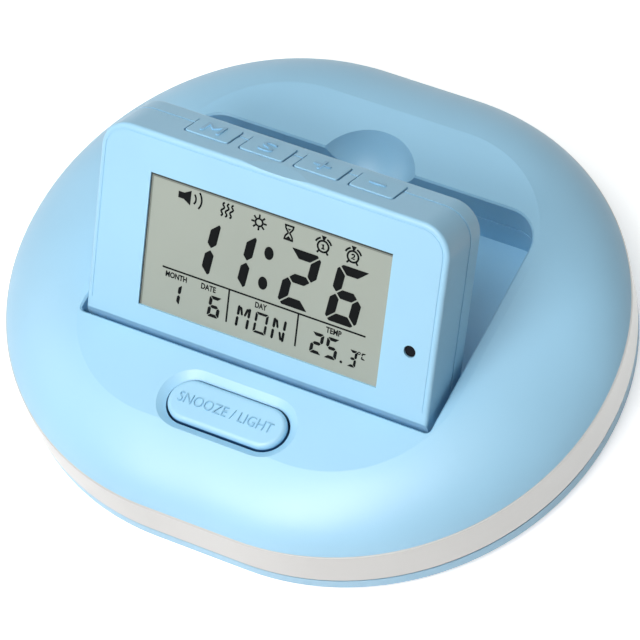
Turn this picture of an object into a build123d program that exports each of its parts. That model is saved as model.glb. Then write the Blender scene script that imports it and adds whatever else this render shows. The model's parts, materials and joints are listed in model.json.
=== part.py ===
import os
from math import atan2, cos, degrees, radians, sin, sqrt

from build123d import *

# Display glass and window, which set the size of the head
glass_width = 54.4
glass_height = 31.6
glass_thick = 1.9
glass_gap = 0.2
glass_lap = 2.1
glass_depth = 0.4
plate_inset = 1.1
plate_thick = 2.5
board_thick = 1.2

# Display head, local u runs up its face and local n out of its face
tilt_angle = 55.5
bezel_side = 8.8
bezel_top = 5.91
head_foot = 3.5
head_thick = 13.34
head_corner = 5.9
head_edge = 0.7
head_rear_edge = 1.2
head_wall = 1.6
front_wall = 1.8
head_seam = 0.14
head_seam_back = 2.0
seam_line_width = 0.4
seam_line_depth = 0.22
foot_gap = 1.09
foot_round = 2.4
cavity_foot = 5.2
glass_foot_gap = 0.6
line_inset = 1.0
line_width = 0.24
line_depth = 0.12
line_foot = 1.0
face_n = head_thick / 2
seam_n = -head_seam_back
head_width = glass_width + 2 * bezel_side
window_width = glass_width - 2 * glass_lap
window_height = glass_height - 2 * glass_lap
window_u = cavity_foot + glass_foot_gap + glass_height / 2
head_top = window_u + glass_height / 2 + bezel_top
glass_n = face_n - glass_depth
plate_n = glass_n - glass_thick
board_n = plate_n - plate_thick

# Levels of the base, the feet stand at zero height
foot_height = 1.25
cover_height = 2.95
ring_height = 9.0
wall = 2.0
standoff = 1.0
bay_board_gap = 1.11
bay_floor_gap = 0.99
rim_gap = 0.2
seam_gap = 0.3
dome_inset = 0.25
cover_inset = 0.15
cover_round = 0.7
cover_floor = 1.55
cover_z = foot_height
cover_top = cover_z + cover_floor
seam_z = cover_z + cover_height
ring_z = seam_z + ring_height
rim_z = ring_z + rim_gap
base_board_z = cover_top + standoff
base_board_top = base_board_z + board_thick
bay_floor_z = base_board_top + bay_board_gap + wall
deck_z = bay_floor_z + bay_floor_gap + head_thick

# Light ring with a tongue behind each neighbour, and the light strip inside it
tongue_wall = 1.0
tongue_height = 0.7
tongue_gap = 0.55
ring_edge = 0.3
strip_wall = 0.35
strip_height = 6.0
strip_break = 13.0
led_length = 2.8
led_height = 2.8
led_thick = 0.9
led_gap = 0.4
led_count = 4
led_start_angle = 14.0
led_span_angle = 58.0
tongue_inset = wall + dome_inset + tongue_gap
ring_wall = tongue_inset + tongue_wall
strip_inset = ring_wall + led_gap + led_thick

# Vibration motor with an off-centre weight, which sets the room beside the bay
motor_radius = 6.0
motor_gap = 1.47
motor_play = 2.95
motor_length = 17.0
motor_nose_radius = 2.5
motor_nose_length = 1.2
motor_foot = 0.8
shaft_radius = 1.0
shaft_run = 0.05
shaft_tip = 0.6
shaft_gap = 0.77
shaft_inside = 6.0
weight_gap = 0.4
weight_hub_radius = 2.4
weight_length = 7.8
weight_space = 1.0
cradle_length = 9.0
cradle_back = 4.0
strap_wall = 1.2
shaft_reach = motor_nose_length + weight_space + weight_length + shaft_tip

# Display bay in the deck
head_side_gap = 0.93
head_front_gap = 0.88
head_back_gap = 1.06
bay_corner = 6.8
bay_front_corner = 1.0
bay_edge = 0.35
bay_edge_angle = 45.0
bay_line_depth = 6.9
bay_line_height = 0.45
bay_line_cut = 0.3
bay_width = head_width + 2 * head_side_gap
bay_length = head_foot + head_top + head_front_gap + head_back_gap
bay_depth = deck_z - bay_floor_z

# Hinge pins between the bay walls and the head
pin_radius = 1.5
pin_run = 0.05
pin_inside = 6.0
pin_end_gap = 0.3
pin_boss_radius = 3.4
pin_boss_length = 3.2
pin_boss_floor = 1.4
pin_outside = head_side_gap + wall + pin_boss_length - pin_boss_floor

# Snooze pill and the moat around it
snooze_length = 24.2
snooze_depth = 8.7
snooze_gap = 0.45
snooze_proud = 0.2
snooze_skirt = 4.2
snooze_edge = 0.9
snooze_travel = 1.0
snooze_stem_radius = 2.2
snooze_collar = 1.0
snooze_collar_height = 1.0
snooze_space = 1.55
moat_width = 2.1
moat_depth = 1.1
guide_wall = 1.4
guide_depth = 5.0
guide_reach = snooze_gap + guide_wall
moat_taper_angle = degrees(atan2(moat_width - snooze_gap, moat_depth))

# Rechargeable cell and charging socket behind the bay
cell_length = 44.0
cell_depth = 10.6
cell_edge = 1.6
cell_gap = 1.3
cell_top_gap = 0.74
usb_space = 2.35
usb_width = 8.94
usb_height = 3.26
usb_length = 7.4
usb_wall = 0.35
usb_tongue_height = 0.7
usb_tongue_width = 6.7
usb_tongue_wall = 1.2
usb_mouth_depth = 1.1
usb_gap = 0.35

# Outline of the base, worked out from the rooms around the bay
front_margin = 13.25
side_flat = 0.35
deck_side = 2.07
deck_front_band = 13.95
deck_back_band = 12.45
deck_corner = 24.0
dome_start_angle = 18.0
dome_end_angle = 75.0
dome_steps = 4
side_room = motor_gap + 2 * motor_radius + motor_play
front_room = wall + snooze_space + 2 * guide_wall + 2 * snooze_gap + snooze_depth + front_margin
back_room = wall + cell_gap + cell_depth + usb_space + usb_length + usb_mouth_depth
body_width = bay_width + 2 * (wall + side_room + strip_wall + strip_inset)
body_depth = front_room + bay_length + back_room
body_corner = body_depth / 2 - side_flat
deck_width = bay_width + 2 * deck_side
deck_depth = body_depth - deck_front_band - deck_back_band
deck_shift = (deck_front_band - deck_back_band) / 2

# Places along the depth of the base
bay_front_y = front_room - body_depth / 2
bay_back_y = bay_front_y + bay_length
bay_mid_y = (bay_back_y + bay_front_y) / 2
hinge_y = bay_front_y + head_front_gap + head_foot
hinge_z = deck_z - face_n
foot_y = bay_front_y + foot_gap
snooze_y = bay_front_y - wall - snooze_space - guide_wall - snooze_gap - snooze_depth / 2
cell_y = bay_back_y + wall + cell_gap + cell_depth / 2
usb_front_y = body_depth / 2 - usb_mouth_depth
motor_x = bay_width / 2 + wall + motor_gap + motor_radius
motor_z = cover_top + motor_foot + motor_radius
motor_front_y = hinge_y + pin_boss_radius + shaft_gap + shaft_reach
motor_back_y = motor_front_y + motor_length
shaft_front_y = motor_front_y - shaft_reach
weight_back_y = motor_front_y - motor_nose_length - weight_space
weight_front_y = weight_back_y - weight_length
weight_radius = motor_radius - weight_gap
cradle_back_y = motor_back_y - cradle_back
cradle_front_y = cradle_back_y - cradle_length
cradle_width = 2 * (motor_radius + strap_wall)
head_normal = (0, -sin(radians(tilt_angle)), cos(radians(tilt_angle)))
head_up = (0, cos(radians(tilt_angle)), sin(radians(tilt_angle)))
head_plane = Plane(origin=(0, hinge_y, hinge_z), x_dir=(1, 0, 0), z_dir=head_normal)

# Finger scoop behind the bay
scoop_radius = 10.2
scoop_depth = 6.6
scoop_back = 3.2
scoop_backing = 1.7
scoop_y = bay_back_y - scoop_back
scoop_ball_radius = (scoop_radius ** 2 + scoop_depth ** 2) / (2 * scoop_depth)
scoop_lift = scoop_ball_radius - scoop_depth
cell_height = deck_z - scoop_depth - scoop_backing - cell_top_gap - base_board_top

# Finger notch in the front top edge of the head
notch_width = 14.6
notch_back = 3.6
notch_drop = 0.35
notch_ball_radius = ((notch_width / 2) ** 2 + notch_drop ** 2) / (2 * notch_drop)

# Board of the head, sensor and screws
head_board_side = 0.8
head_board_foot_gap = 1.2
head_board_top_gap = 2.4
head_board_wing = 1.4
head_board_wing_foot_gap = 2.2
head_board_wing_top_gap = 3.0
head_board_width = glass_width + 2 * head_board_side
head_board_height = glass_height - head_board_foot_gap - head_board_top_gap
head_board_u = cavity_foot + glass_foot_gap + head_board_foot_gap + head_board_height / 2
head_board_wing_width = head_width - 2 * (head_wall + head_board_wing)
sensor_edge = 5.23
sensor_height = 12.22
sensor_hole_radius = 1.2
sensor_radius = 1.1
sensor_depth = 0.35
sensor_x = head_width / 2 - sensor_edge
sensor_u = cavity_foot + sensor_height
head_screw_edge = 4.8
head_screw_foot_gap = 4.4
head_screw_top_gap = 6.91
head_post_radius = 2.3
head_screw_radius = 0.9
head_screw_head_radius = 1.7
head_screw_head_thick = 1.2
head_screw_depth = 1.6
head_screw_length = 8.0
head_screw_slot = 0.5
head_screw_x = head_width / 2 - head_screw_edge
head_screw_low = cavity_foot + head_screw_foot_gap
head_screw_high = head_top - head_screw_top_gap
head_board_wing_low = head_screw_low + head_post_radius + head_board_wing_foot_gap
head_board_wing_high = head_screw_high - head_post_radius - head_board_wing_top_gap
head_board_wing_height = head_board_wing_high - head_board_wing_low
head_board_wing_u = (head_board_wing_high + head_board_wing_low) / 2

# Four keys along the top of the head
key_width = 8.95
key_depth = 6.2
key_space = 1.5
key_front = 4.57
key_gap = 0.28
key_rear_gap = 0.12
key_proud = 0.18
key_corner = 0.6
key_edge = 0.15
key_flange = 0.45
key_flange_thick = 0.8
key_flange_gap = 0.1
key_travel = 0.6
key_stem_width = 4.0
key_stem_depth = 2.4
switch_width = 6.0
switch_height = 3.2
switch_depth = 3.4
switch_lap = 1.5
switch_cap = 1.5
switch_cap_height = 0.5
key_pitch = key_width + 2 * key_flange + key_space
head_screw_spots = [
    (-head_screw_x, head_screw_low),
    (-head_screw_x, head_screw_high),
    (head_screw_x, head_screw_low),
    (head_screw_x, head_screw_high),
]
key_plane_origin = (0, hinge_y + head_up[1] * head_top, hinge_z + head_up[2] * head_top)
key_plane = Plane(origin=key_plane_origin, x_dir=(1, 0, 0), z_dir=head_up)
key_y = key_front + key_depth / 2 - face_n
key_hole_y = key_y + (key_rear_gap - key_gap) / 2
key_hole_depth = key_depth + key_gap + key_rear_gap
switch_y = board_thick + switch_depth / 2 - board_n
switch_base = head_top - head_board_u - head_board_height / 2
switch_top = switch_base - switch_height - switch_cap_height
key_stem_end = switch_top - key_travel - key_flange_gap

# Board and switch inside the base
main_board_side = 28.8
main_board_front_gap = 9.35
main_board_back_gap = 6.0
main_board_corner = 24.0
main_board_width = body_width - 2 * main_board_side
main_board_depth = body_depth - main_board_front_gap - main_board_back_gap
main_board_y = (main_board_front_gap - main_board_back_gap) / 2
standoff_radius = 2.0
standoff_side = 6.0
standoff_end = 14.0
standoff_x = main_board_width / 2 - standoff_side
standoff_y = main_board_depth / 2 - standoff_end
usb_mid_z = base_board_top + usb_height / 2
snooze_switch_side = 6.0
snooze_switch_height = 3.6
snooze_cap_radius = 1.7
snooze_cap_height = 1.4
snooze_switch_top = base_board_top + snooze_switch_height + snooze_cap_height

# Speaker over its sound holes
speaker_height = 4.2
speaker_gap = 0.31
speaker_magnet_radius = 4.5
speaker_magnet_height = 1.4
grille_hole_radius = 0.75
grille_inner_radius = 2.6
grille_outer_radius = 5.2
grille_inner_count = 6
grille_outer_count = 12
speaker_radius = side_room / 2 - speaker_gap
speaker_x = -bay_width / 2 - wall - side_room / 2

# Screws and feet under the base
screw_side = 15.4
screw_front_space = 5.2
screw_back_space = 4.8
post_radius = 3.2
screw_radius = 1.25
screw_head_radius = 2.6
screw_head_thick = 1.6
screw_depth = 0.6
screw_length = 11.0
screw_slot = 0.7
screw_slot_depth = 0.7
cover_boss_height = 2.6
foot_radius = 4.5
foot_side = 30.8
foot_end = 16.35
foot_pocket_depth = 0.7
foot_edge = 0.4
screw_x = body_width / 2 - screw_side
screw_front_y = shaft_front_y - screw_front_space - post_radius
screw_back_y = motor_back_y + screw_back_space + post_radius
screw_spots = [
    (-screw_x, screw_front_y),
    (-screw_x, screw_back_y),
    (screw_x, screw_front_y),
    (screw_x, screw_back_y),
]
foot_x = body_width / 2 - foot_side
foot_spot_y = body_depth / 2 - foot_end


def body_loop(inset, mode=Mode.ADD):
    """Outline of the base drawn in by the given inset."""
    RectangleRounded(body_width - 2 * inset, body_depth - 2 * inset, body_corner - inset, mode=mode)


def dome_sections(inset, drop):
    """Sections of the dome from its rim up to the deck, drawn in by the inset and lowered by the drop."""
    sections = []
    first = radians(dome_start_angle)
    last = radians(dome_end_angle)
    for step in range(dome_steps + 1):
        angle = first + (last - first) * step / dome_steps
        reach = (cos(first) - cos(angle)) / (cos(first) - cos(last))
        rise = (sin(angle) - sin(first)) / (sin(last) - sin(first))
        edge = inset + dome_inset * (1 - reach)
        width = body_width + (deck_width - body_width) * reach - 2 * edge
        depth = body_depth + (deck_depth - body_depth) * reach - 2 * edge
        corner = body_corner + (deck_corner - body_corner) * reach - edge
        with BuildSketch(Plane.XY.offset(rim_z + (deck_z - rim_z - drop) * rise)) as section:
            with Locations((0, deck_shift * reach)):
                RectangleRounded(width, depth, corner)
        sections.append(section.sketch)
    return sections


def head_slab(inset, foot, mode=Mode.ADD):
    """Outline of the head seen on its face, drawn in by the inset above the given foot line."""
    with BuildLine() as loop:
        side = head_width / 2 - inset
        high = head_top - inset
        turn = head_corner - inset
        left = Line((-side, foot), (-side, high - turn))
        start = RadiusArc(left @ 1, (turn - side, high), turn)
        top = Line(start @ 1, (side - turn, high))
        end = RadiusArc(top @ 1, (side, high - turn), turn)
        right = Line(end @ 1, (side, foot))
        Line(right @ 1, left @ 0)
    make_face(loop.edges(), mode=mode)


# Outer form of the upper housing
with BuildPart() as dome:
    loft(dome_sections(0, 0))

# Room that the inner walls of the upper housing may fill
with BuildPart() as envelope:
    add(dome.part)
    with BuildSketch(Plane.XY.offset(rim_z)):
        body_loop(strip_inset + strip_wall + tongue_gap)
    extrude(amount=cover_top - rim_z)

# Tub, scoop backing, button guide, screw posts and hinge bosses inside the housing
with BuildPart() as inner_walls:
    with BuildSketch(Plane.XY.offset(bay_floor_z - wall)):
        with Locations((0, bay_mid_y)):
            RectangleRounded(bay_width + 2 * wall, bay_length + 2 * wall, bay_corner + wall)
    extrude(amount=deck_z - bay_floor_z + wall)
    with BuildSketch(Plane.XY.offset(deck_z)):
        with Locations((0, scoop_y)):
            Circle(scoop_radius + wall)
    extrude(amount=-scoop_depth - scoop_backing)
    with BuildSketch(Plane.XY.offset(deck_z)):
        with Locations((0, snooze_y)):
            SlotOverall(snooze_length + 2 * guide_reach, snooze_depth + 2 * guide_reach)
    extrude(amount=-guide_depth)
    with BuildSketch(Plane.XY.offset(cover_top + cover_boss_height)):
        with Locations(*screw_spots):
            Circle(post_radius)
    extrude(amount=deck_z - cover_top - cover_boss_height)
    with BuildSketch(Plane.YZ):
        with Locations((hinge_y, hinge_z)):
            Circle(pin_boss_radius)
    extrude(amount=bay_width / 2 + wall + pin_boss_length, both=True)
    add(envelope.part, mode=Mode.INTERSECT)

# Upper housing with its bay, scoop, button opening and bores
with BuildPart() as upper_housing:
    add(dome.part)
    loft(dome_sections(wall, wall), mode=Mode.SUBTRACT)
    add(inner_walls.part)
    with BuildSketch(Plane.XY.offset(deck_z)) as bay_sketch:
        with Locations((0, bay_mid_y)):
            Rectangle(bay_width, bay_length)
        fillet(bay_sketch.vertices().group_by(Axis.Y)[-1], radius=bay_corner)
        fillet(bay_sketch.vertices().group_by(Axis.Y)[0], radius=bay_front_corner)
    extrude(amount=-bay_depth, mode=Mode.SUBTRACT)
    with BuildSketch(Plane.XY.offset(deck_z - bay_line_depth)):
        add(bay_sketch.sketch_local)
        offset(amount=bay_line_cut)
    extrude(amount=-bay_line_height, mode=Mode.SUBTRACT)
    with BuildSketch(Plane.XY.offset(deck_z)):
        add(bay_sketch.sketch_local)
        offset(amount=bay_edge)
    extrude(amount=-bay_edge, taper=bay_edge_angle, mode=Mode.SUBTRACT)
    with Locations((0, scoop_y, deck_z + scoop_lift)):
        Sphere(scoop_ball_radius, mode=Mode.SUBTRACT)
    with BuildSketch(Plane.XY.offset(deck_z)):
        with Locations((0, snooze_y)):
            SlotOverall(snooze_length + 2 * moat_width, snooze_depth + 2 * moat_width)
    extrude(amount=-moat_depth, taper=moat_taper_angle, mode=Mode.SUBTRACT)
    with BuildSketch(Plane.XY.offset(deck_z)):
        with Locations((0, snooze_y)):
            SlotOverall(snooze_length + 2 * snooze_gap, snooze_depth + 2 * snooze_gap)
    extrude(amount=-guide_depth, mode=Mode.SUBTRACT)
    with BuildSketch(Plane.XY.offset(cover_top + cover_boss_height)):
        with Locations(*screw_spots):
            Circle(screw_radius)
    extrude(amount=screw_length, mode=Mode.SUBTRACT)
    with BuildSketch(Plane.YZ):
        with Locations((hinge_y, hinge_z)):
            Circle(pin_radius)
    extrude(amount=head_width / 2 + pin_outside, both=True, mode=Mode.SUBTRACT)

# Light ring with a tongue above and below
with BuildPart() as light_ring:
    with BuildSketch(Plane.XY.offset(seam_z + seam_gap)):
        body_loop(0)
        body_loop(ring_wall, mode=Mode.SUBTRACT)
    extrude(amount=ring_height - seam_gap)
    fillet(light_ring.faces().sort_by(Axis.Z)[0].outer_wire().edges(), radius=ring_edge)
    fillet(light_ring.faces().sort_by(Axis.Z)[-1].outer_wire().edges(), radius=ring_edge)
    with BuildSketch(Plane.XY.offset(seam_z - tongue_height)):
        body_loop(tongue_inset)
        body_loop(ring_wall, mode=Mode.SUBTRACT)
    extrude(amount=ring_height + 2 * tongue_height)
    with BuildSketch(Plane.XZ.offset(-body_depth / 2)):
        with Locations((0, usb_mid_z)):
            SlotOverall(usb_width + 2 * usb_gap, usb_height + 2 * usb_gap)
    extrude(amount=strip_inset, both=True, mode=Mode.SUBTRACT)

# Bottom cover with bosses, foot pockets, sound holes and the motor cradle
with BuildPart() as bottom_cover:
    with BuildSketch(Plane.XY.offset(cover_z)):
        body_loop(cover_inset)
    extrude(amount=cover_height)
    fillet(bottom_cover.faces().sort_by(Axis.Z)[0].edges(), radius=cover_round)
    with BuildSketch(Plane.XY.offset(cover_top)):
        body_loop(wall + dome_inset)
    extrude(amount=cover_height, mode=Mode.SUBTRACT)
    with BuildSketch(Plane.XY.offset(cover_top)):
        with Locations(*screw_spots):
            Circle(post_radius)
    extrude(amount=cover_boss_height)
    with BuildSketch(Plane.XY.offset(cover_top)):
        with Locations((0, main_board_y)):
            with GridLocations(2 * standoff_x, 2 * standoff_y, 2, 2):
                Circle(standoff_radius)
    extrude(amount=standoff)
    with BuildSketch(Plane.XY.offset(cover_top)):
        with Locations((motor_x, (cradle_front_y + cradle_back_y) / 2)):
            Rectangle(cradle_width, cradle_back_y - cradle_front_y)
    extrude(amount=motor_z - cover_top)
    with BuildSketch(Plane.XZ.offset(-cradle_front_y)):
        with Locations((motor_x, motor_z)):
            Circle(motor_radius)
    extrude(amount=cradle_front_y - cradle_back_y, mode=Mode.SUBTRACT)
    with BuildSketch(Plane.XY.offset(cover_z)):
        with Locations(*screw_spots):
            Circle(screw_radius)
    extrude(amount=cover_floor + cover_boss_height, mode=Mode.SUBTRACT)
    with BuildSketch(Plane.XY.offset(cover_z)):
        with Locations(*screw_spots):
            Circle(screw_head_radius)
    extrude(amount=screw_depth + screw_head_thick, mode=Mode.SUBTRACT)
    with BuildSketch(Plane.XY.offset(cover_z)):
        with GridLocations(2 * foot_x, 2 * foot_spot_y, 2, 2):
            Circle(foot_radius)
    extrude(amount=foot_pocket_depth, mode=Mode.SUBTRACT)
    with BuildSketch(Plane.XY.offset(cover_z)):
        with Locations((speaker_x, 0)):
            Circle(grille_hole_radius)
            with PolarLocations(grille_inner_radius, grille_inner_count):
                Circle(grille_hole_radius)
            with PolarLocations(grille_outer_radius, grille_outer_count):
                Circle(grille_hole_radius)
    extrude(amount=cover_floor, mode=Mode.SUBTRACT)

# Four rubber feet
with BuildPart() as rubber_feet:
    with BuildSketch(Plane.XY):
        with GridLocations(2 * foot_x, 2 * foot_spot_y, 2, 2):
            Circle(foot_radius)
    extrude(amount=foot_height + foot_pocket_depth)
    chamfer(rubber_feet.edges().group_by(Axis.Z)[0], length=foot_edge)

# Four screws that hold the cover to the posts
with BuildPart() as housing_screws:
    with BuildSketch(Plane.XY.offset(cover_z + screw_depth)):
        with Locations(*screw_spots):
            Circle(screw_head_radius)
    extrude(amount=screw_head_thick)
    with BuildSketch(Plane.XY.offset(cover_z + screw_depth)):
        with Locations(*screw_spots):
            Circle(screw_radius)
    extrude(amount=screw_length)
    with BuildSketch(Plane.XY.offset(cover_z + screw_depth)):
        with Locations(*screw_spots):
            Rectangle(screw_head_radius, screw_slot)
            Rectangle(screw_slot, screw_head_radius)
    extrude(amount=screw_slot_depth, mode=Mode.SUBTRACT)

# Snooze button with its stem
with BuildPart() as snooze_button:
    with BuildSketch(Plane.XY.offset(deck_z + snooze_proud)):
        with Locations((0, snooze_y)):
            SlotOverall(snooze_length, snooze_depth)
    extrude(amount=-snooze_skirt)
    fillet(snooze_button.edges().group_by(Axis.Z)[-1], radius=snooze_edge)
    with BuildSketch(Plane.XY.offset(deck_z - guide_depth - snooze_gap)):
        with Locations((0, snooze_y)):
            SlotOverall(snooze_length + 2 * snooze_collar, snooze_depth + 2 * snooze_collar)
    extrude(amount=-snooze_collar_height)
    with BuildSketch(Plane.XY.offset(deck_z + snooze_proud - snooze_skirt)):
        with Locations((0, snooze_y)):
            SlotOverall(snooze_length - snooze_edge, snooze_depth - snooze_edge)
    extrude(amount=snooze_skirt - snooze_proud - guide_depth - snooze_gap - snooze_collar_height)
    with BuildSketch(Plane.XY.offset(snooze_switch_top + snooze_travel + snooze_gap)):
        with Locations((0, snooze_y)):
            Circle(snooze_stem_radius)
    extrude(amount=deck_z - guide_depth - snooze_switch_top - snooze_travel - snooze_collar_height)

# Switch under the snooze button
with BuildPart() as snooze_switch:
    with BuildSketch(Plane.XY.offset(base_board_top)):
        with Locations((0, snooze_y)):
            Rectangle(snooze_switch_side, snooze_switch_side)
    extrude(amount=snooze_switch_height)
    with BuildSketch(Plane.XY.offset(base_board_top + snooze_switch_height)):
        with Locations((0, snooze_y)):
            Circle(snooze_cap_radius)
    extrude(amount=snooze_cap_height)

# Main board on its standoffs
with BuildPart() as main_board:
    with BuildSketch(Plane.XY.offset(base_board_z)):
        with Locations((0, main_board_y)):
            RectangleRounded(main_board_width, main_board_depth, main_board_corner)
    extrude(amount=board_thick)

# Charging socket at the back edge of the board
with BuildPart() as usb_socket:
    with BuildSketch(Plane.XZ.offset(-usb_front_y)):
        with Locations((0, usb_mid_z)):
            SlotOverall(usb_width, usb_height)
    extrude(amount=usb_length)
    with BuildSketch(Plane.XZ.offset(-usb_front_y)):
        with Locations((0, usb_mid_z)):
            SlotOverall(usb_width - 2 * usb_wall, usb_height - 2 * usb_wall)
            Rectangle(usb_tongue_width, usb_tongue_height, mode=Mode.SUBTRACT)
    extrude(amount=usb_length - usb_tongue_wall, mode=Mode.SUBTRACT)

# Rechargeable cell behind the bay
with BuildPart() as battery_cell:
    with BuildSketch(Plane.XY.offset(base_board_top)):
        with Locations((0, cell_y)):
            RectangleRounded(cell_length, cell_depth, cell_edge)
    extrude(amount=cell_height)
    fillet(battery_cell.edges().group_by(Axis.Z)[-1], radius=cell_edge / 2)

# Small speaker over the sound holes
with BuildPart() as speaker:
    with BuildSketch(Plane.XY.offset(cover_top)):
        with Locations((speaker_x, 0)):
            Circle(speaker_radius)
    extrude(amount=speaker_height - speaker_magnet_height)
    with BuildSketch(Plane.XY.offset(cover_top + speaker_height - speaker_magnet_height)):
        with Locations((speaker_x, 0)):
            Circle(speaker_magnet_radius)
    extrude(amount=speaker_magnet_height)

# Motor can with its bearing nose
with BuildPart() as vibration_motor:
    with BuildSketch(Plane.XZ.offset(-motor_front_y)):
        with Locations((motor_x, motor_z)):
            Circle(motor_radius)
    extrude(amount=motor_front_y - motor_back_y)
    with BuildSketch(Plane.XZ.offset(-motor_front_y)):
        with Locations((motor_x, motor_z)):
            Circle(motor_nose_radius)
    extrude(amount=motor_nose_length)
    with BuildSketch(Plane.XZ.offset(motor_nose_length - motor_front_y)):
        with Locations((motor_x, motor_z)):
            Circle(shaft_radius + shaft_run)
    extrude(amount=-motor_nose_length - shaft_inside - shaft_run, mode=Mode.SUBTRACT)

# Strap that holds the motor down on its cradle
with BuildPart() as motor_clamp:
    with BuildSketch(Plane.XZ.offset(-cradle_front_y)):
        with Locations((motor_x, motor_z)):
            Circle(motor_radius + strap_wall)
            with Locations((0, strap_wall / 2)):
                Rectangle(cradle_width, strap_wall)
            Circle(motor_radius, mode=Mode.SUBTRACT)
            with Locations((0, -motor_radius)):
                Rectangle(2 * cradle_width, 2 * motor_radius, mode=Mode.SUBTRACT)
    extrude(amount=cradle_front_y - cradle_back_y)

# Motor shaft
with BuildPart() as motor_shaft:
    with BuildSketch(Plane.XZ.offset(-shaft_front_y)):
        with Locations((motor_x, motor_z)):
            Circle(shaft_radius)
    extrude(amount=shaft_front_y - motor_front_y - shaft_inside)

# Off-centre weight on the shaft
with BuildPart() as eccentric_weight:
    with BuildSketch(Plane.XZ.offset(-weight_front_y)):
        with Locations((motor_x, motor_z)):
            Circle(weight_radius)
            with Locations((0, weight_radius)):
                Rectangle(2 * weight_radius, 2 * weight_radius, mode=Mode.SUBTRACT)
            Circle(weight_hub_radius)
            Circle(shaft_radius, mode=Mode.SUBTRACT)
    extrude(amount=weight_front_y - weight_back_y)

# Light strip behind the ring, open at the socket
with BuildPart() as led_strip:
    with BuildSketch(Plane.XY.offset(seam_z + (ring_height - strip_height) / 2)):
        body_loop(strip_inset)
        body_loop(strip_inset + strip_wall, mode=Mode.SUBTRACT)
        with Locations((0, body_depth / 2)):
            Rectangle(strip_break, body_depth / 2, mode=Mode.SUBTRACT)
    extrude(amount=strip_height)

# Lights on the strip
with BuildPart() as ring_leds:
    for side in (-1, 1):
        for end in (-1, 1):
            turn_x = side * (body_width / 2 - body_corner)
            turn_y = end * (body_depth / 2 - body_corner)
            first = led_start_angle if side * end > 0 else -led_start_angle
            flip = 0 if side > 0 else 180
            for number in range(led_count):
                angle = flip + first + (led_span_angle / (led_count - 1)) * number * (1 if first > 0 else -1)
                reach = body_corner - strip_inset + led_thick / 2
                spot_x = turn_x + reach * cos(radians(angle))
                spot_y = turn_y + reach * sin(radians(angle))
                with Locations(Location((spot_x, spot_y, seam_z + ring_height / 2), (0, 0, angle))):
                    Box(led_thick, led_length, led_height)

# Two hinge pins
with BuildPart() as hinge_pins:
    for side in (-1, 1):
        with BuildSketch(Plane.YZ.offset(side * (head_width / 2 - pin_inside + pin_end_gap))):
            with Locations((hinge_y, hinge_z)):
                Circle(pin_radius)
        extrude(amount=side * (pin_inside - pin_end_gap + pin_outside))

# Full form of the display head
with BuildPart() as head_block:
    with BuildSketch(head_plane.offset(-face_n)):
        head_slab(0, -head_foot)
    extrude(amount=head_thick)
    with BuildSketch(Plane.XZ.offset(-foot_y)):
        with Locations((0, hinge_z)):
            Rectangle(2 * head_width, 2 * head_top)
    extrude(amount=head_thick, mode=Mode.SUBTRACT)
    fillet(head_block.edges().filter_by(Axis.X).sort_by(Axis.Z)[0], radius=foot_round)
    face_axis = Axis((0, hinge_y, hinge_z), head_normal)
    fillet(head_block.faces().sort_by(face_axis)[-1].edges().sort_by(Axis.Z)[1:], radius=head_edge)
    fillet(head_block.faces().sort_by(face_axis)[0].edges().sort_by(Axis.Z)[1:], radius=head_rear_edge)
    notch_run = sqrt(notch_back ** 2 + notch_drop ** 2)
    notch_axis = (
        0,
        head_up[1] * -notch_drop / notch_run + head_normal[1] * notch_back / notch_run,
        head_up[2] * -notch_drop / notch_run + head_normal[2] * notch_back / notch_run,
    )
    lift_u = head_top + notch_ball_radius * notch_back / notch_run
    lift_n = face_n - notch_back + notch_ball_radius * notch_drop / notch_run
    notch_start = (
        0,
        hinge_y + head_up[1] * lift_u + head_normal[1] * lift_n,
        hinge_z + head_up[2] * lift_u + head_normal[2] * lift_n,
    )
    with BuildSketch(Plane(origin=notch_start, x_dir=(1, 0, 0), z_dir=notch_axis)):
        Circle(notch_ball_radius)
    extrude(amount=head_thick, both=True, mode=Mode.SUBTRACT)
    with BuildSketch(Plane.YZ):
        with Locations((hinge_y, hinge_z)):
            Circle(pin_radius + pin_run)
    extrude(amount=head_width, both=True, mode=Mode.SUBTRACT)
    with BuildSketch(head_plane.offset(seam_n - seam_line_width / 2)):
        Rectangle(2 * head_width, 4 * head_top)
        head_slab(seam_line_depth, -4 * head_top, mode=Mode.SUBTRACT)
    extrude(amount=seam_line_width, mode=Mode.SUBTRACT)
    with BuildSketch(key_plane.offset(head_edge)):
        with Locations((0, key_hole_y)):
            with GridLocations(key_pitch, 0, 4, 1):
                RectangleRounded(key_width + 2 * key_gap, key_hole_depth, key_corner + key_rear_gap)
    extrude(amount=-head_wall - 2 * head_edge, mode=Mode.SUBTRACT)

# Core that closes the hinge bore between the two pins
with BuildPart() as hinge_core:
    with BuildSketch(Plane.YZ):
        with Locations((hinge_y, hinge_z)):
            Circle(pin_radius + pin_run)
    extrude(amount=head_width / 2 - pin_inside, both=True)

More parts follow.
